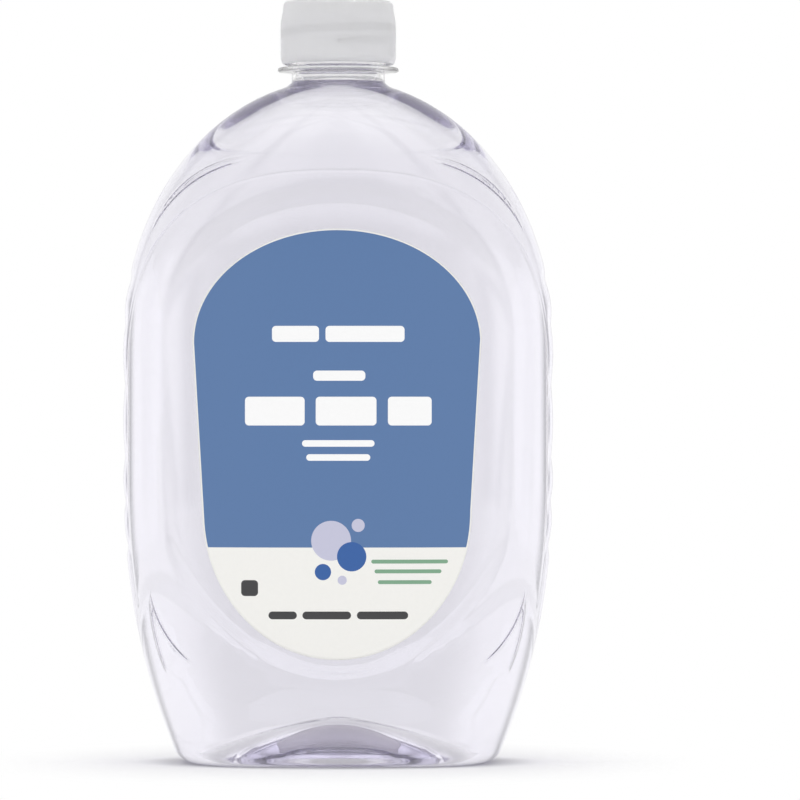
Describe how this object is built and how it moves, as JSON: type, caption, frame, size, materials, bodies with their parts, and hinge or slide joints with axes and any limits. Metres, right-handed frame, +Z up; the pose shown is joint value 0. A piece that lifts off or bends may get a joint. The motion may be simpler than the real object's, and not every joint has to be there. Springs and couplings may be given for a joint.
{
  "type": "hand soap refill bottle",
  "caption": "Clear flat oval refill bottle of liquid hand soap with a screw cap, a film label on front and back, and moulded finger grips on its sides.",
  "frame": {"origin": "middle of the base, on the surface that the bottle stands on", "axes": "+Z up the neck's axis, -Y out of the front label, +X to the right as the front is read"},
  "size_m": [0.1344, 0.0764, 0.2377],
  "materials": {
    "clear_pet": "clear blow-moulded PET, glossy",
    "liquid_soap": "clear liquid with a faint lilac tint",
    "natural_pp": "uncoloured moulded polypropylene, translucent, satin",
    "foam_liner": "white foamed polyethylene",
    "front_film": "printed white film, satin",
    "back_film": "printed white film, satin"
  },
  "bodies": {
    "bottle": {"bottle": "clear_pet", "soap": "liquid_soap", "front_label": "front_film", "back_label": "back_film"},
    "liner": {"seal_liner": "foam_liner"},
    "cap": {"cap": "natural_pp"}
  },
  "joints": [
    {"name": "cap_lift", "type": "slide", "parent": "bottle", "child": "liner", "axis": [0, 0, 1], "range_m": [0, 0.00635]},
    {"name": "cap_turn", "type": "hinge", "parent": "liner", "child": "cap", "pos_m": [0, 0, 0.2279], "axis": [0, 0, 1], "range_deg": [0, 540]}
  ],
  "couplings": [
    {"joint": "cap_lift", "follows": "cap_turn", "m_per_rad": 0.00067375}
  ]
}
